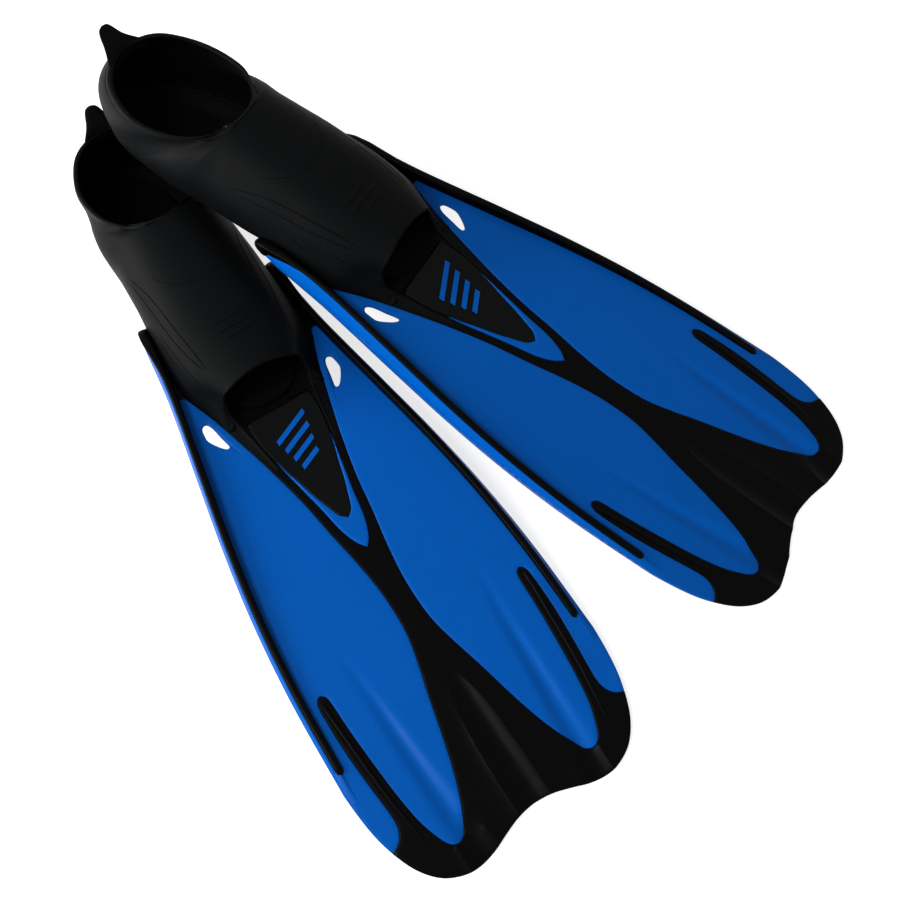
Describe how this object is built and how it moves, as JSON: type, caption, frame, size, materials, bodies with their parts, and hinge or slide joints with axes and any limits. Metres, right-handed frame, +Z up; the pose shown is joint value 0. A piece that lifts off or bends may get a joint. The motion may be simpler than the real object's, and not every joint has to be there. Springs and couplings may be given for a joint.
{
  "type": "swim fins",
  "caption": "Pair of full-foot swim fins, one laid over the other, with soft foot pockets, stiff glossy blades, rubber trim and flexing tails.",
  "frame": {"origin": "centre of the pair's bounding box, on the surface it lies on", "axes": "+Z up, +Y from the heels towards the tails along the middle of the pair, +X towards the right fin's outer side"},
  "size_m": [0.445, 0.6073, 0.1626],
  "materials": {
    "pocket_rubber": "satin, fine grain",
    "trim_rubber": "satin",
    "blade_plastic": "glossy",
    "accent_plastic": "glossy",
    "panel_plastic": "satin",
    "footbed_rubber": "matte, fine grain",
    "sole_plastic": "matte"
  },
  "bodies": {
    "right_boot": {"right_foot_pocket": "pocket_rubber", "right_footbed": "footbed_rubber", "right_sole_plate": "sole_plastic", "right_toe_panel": "panel_plastic", "right_toe_bars": "accent_plastic", "right_v_accent": "accent_plastic", "right_saddle": "pocket_rubber", "right_blade_root": "blade_plastic", "right_rail_cap_root": "trim_rubber"},
    "right_blade": {"right_blade_tip": "blade_plastic", "right_tail": "trim_rubber", "right_rail_cap_tip": "trim_rubber"},
    "right_tab": {"right_heel_tab": "pocket_rubber"},
    "left_boot": {"left_foot_pocket": "pocket_rubber", "left_footbed": "footbed_rubber", "left_sole_plate": "sole_plastic", "left_toe_panel": "panel_plastic", "left_toe_bars": "accent_plastic", "left_v_accent": "accent_plastic", "left_saddle": "pocket_rubber", "left_blade_root": "blade_plastic", "left_rail_cap_root": "trim_rubber"},
    "left_blade": {"left_blade_tip": "blade_plastic", "left_tail": "trim_rubber", "left_rail_cap_tip": "trim_rubber"},
    "left_tab": {"left_heel_tab": "pocket_rubber"}
  },
  "joints": [
    {"name": "right_blade_flex", "type": "hinge", "parent": "right_boot", "child": "right_blade", "pos_m": [0.09688, 0.09063, 0.0174], "axis": [0.9759, -0.2181, 0], "range_deg": [-25, 25], "stiffness_Nm_per_rad": 14},
    {"name": "right_tab_flex", "type": "hinge", "parent": "right_boot", "child": "right_tab", "pos_m": [0.0121, -0.28864, 0.07255], "axis": [0.9759, -0.2181, 0], "range_deg": [-25, 40], "stiffness_Nm_per_rad": 0.15},
    {"name": "left_blade_flex", "type": "hinge", "parent": "left_boot", "child": "left_blade", "pos_m": [-0.09744, 0.09896, 0.04231], "axis": [0.9759, 0.2181, 0], "range_deg": [-25, 25], "stiffness_Nm_per_rad": 14},
    {"name": "left_tab_flex", "type": "hinge", "parent": "left_boot", "child": "left_tab", "pos_m": [-0.01482, -0.27063, 0.14552], "axis": [0.9759, 0.2181, 0], "range_deg": [-25, 40], "stiffness_Nm_per_rad": 0.15},
    {"name": "left_fin_lift", "type": "slide", "parent": "right_boot", "child": "left_boot", "axis": [0, 0, 1], "range_m": [0, 0.15]}
  ]
}
